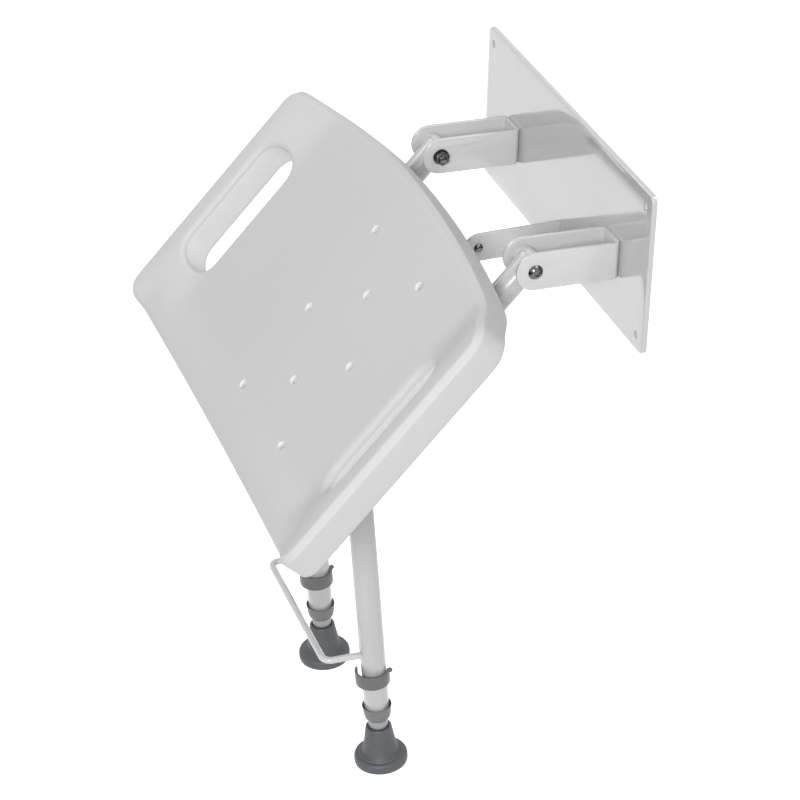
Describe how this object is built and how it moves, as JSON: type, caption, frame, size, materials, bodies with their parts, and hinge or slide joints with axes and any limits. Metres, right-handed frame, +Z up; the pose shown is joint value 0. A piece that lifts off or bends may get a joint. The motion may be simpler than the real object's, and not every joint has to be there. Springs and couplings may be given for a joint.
{
  "type": "fold down wall seat",
  "caption": "Fold down wall seat: a moulded seat with hand slots and drain holes on a hinged tube frame, with a steel wall plate and height-adjustable legs that a link keeps upright.",
  "frame": {"origin": "centre of the wall plate's back face, in the plane of the wall", "axes": "X along the wall, +X toward the right side of the seat as a person sees it who faces the wall; +Y into the wall; +Z up. At rest the seat hangs on its lower stop, 48.4 degrees below the horizontal."},
  "size_m": [0.5618, 0.3693, 0.6633],
  "materials": {
    "coat": "glossy powder coat",
    "steel": "satin",
    "tube": "satin anodised",
    "seat": "fine satin moulded",
    "grey": "moulded",
    "rubber": "matte"
  },
  "bodies": {
    "wall": {"wall_plate": "coat", "bracket_left": "coat", "bracket_right": "coat", "centre_arm": "coat", "hinge_bolts": "steel", "hinge_washers": "steel", "hinge_nuts": "steel", "arm_bolt": "steel", "arm_nut": "steel"},
    "seat": {"hinge_bushes": "grey", "side_tube_left": "coat", "side_tube_right": "coat", "front_tube": "coat", "cross_rails": "coat", "frame_plugs": "grey", "rail_plugs": "grey", "pivot_plates": "coat", "pivot_bushes": "grey", "seat_panel": "seat", "seat_screws": "steel"},
    "legs": {"pivot_tube": "coat", "pivot_inserts": "steel", "pivot_bolts": "steel", "pivot_lug": "coat", "leg_left": "coat", "leg_right": "coat", "foot_rail": "coat", "end_bushes": "grey", "lug_bolt": "steel", "lug_nut": "steel"},
    "link": {"link_bar": "coat", "link_stop": "rubber", "link_washers": "steel"},
    "lower_left": {"inner_tube_left": "tube", "glide_left": "grey", "foot_left": "rubber"},
    "lower_right": {"inner_tube_right": "tube", "glide_right": "grey", "foot_right": "rubber"},
    "clip_left": {"height_clip_left": "grey", "clip_pin_left": "steel"},
    "clip_right": {"height_clip_right": "grey", "clip_pin_right": "steel"}
  },
  "joints": [
    {"name": "seat_fold", "type": "hinge", "parent": "wall", "child": "seat", "pos_m": [0, -0.0891, -0.0116], "axis": [-1, 0, 0], "range_deg": [0, 138.4]},
    {"name": "leg_pivot", "type": "hinge", "parent": "seat", "child": "legs", "pos_m": [0, -0.23717, -0.24842], "axis": [-1, 0, 0], "range_deg": [-138.4, 0]},
    {"name": "link_pivot", "type": "hinge", "parent": "wall", "child": "link", "pos_m": [0, -0.0891, -0.0581], "axis": [-1, 0, 0], "range_deg": [0, 138.4]},
    {"name": "height_left", "type": "slide", "parent": "legs", "child": "lower_left", "axis": [-0.016, 0.0866, -0.9961], "range_m": [0, 0.1]},
    {"name": "height_right", "type": "slide", "parent": "legs", "child": "lower_right", "axis": [0.016, 0.0866, -0.9961], "range_m": [0, 0.1]},
    {"name": "clip_pull_left", "type": "slide", "parent": "legs", "child": "clip_left", "axis": [0.9999, 0, -0.0161], "range_m": [0, 0.018]},
    {"name": "clip_pull_right", "type": "slide", "parent": "legs", "child": "clip_right", "axis": [0.9999, 0, 0.0161], "range_m": [0, 0.018]}
  ],
  "couplings": [
    {"joint": "leg_pivot", "follows": "seat_fold", "ratio": -1},
    {"joint": "link_pivot", "follows": "seat_fold", "ratio": 1}
  ]
}
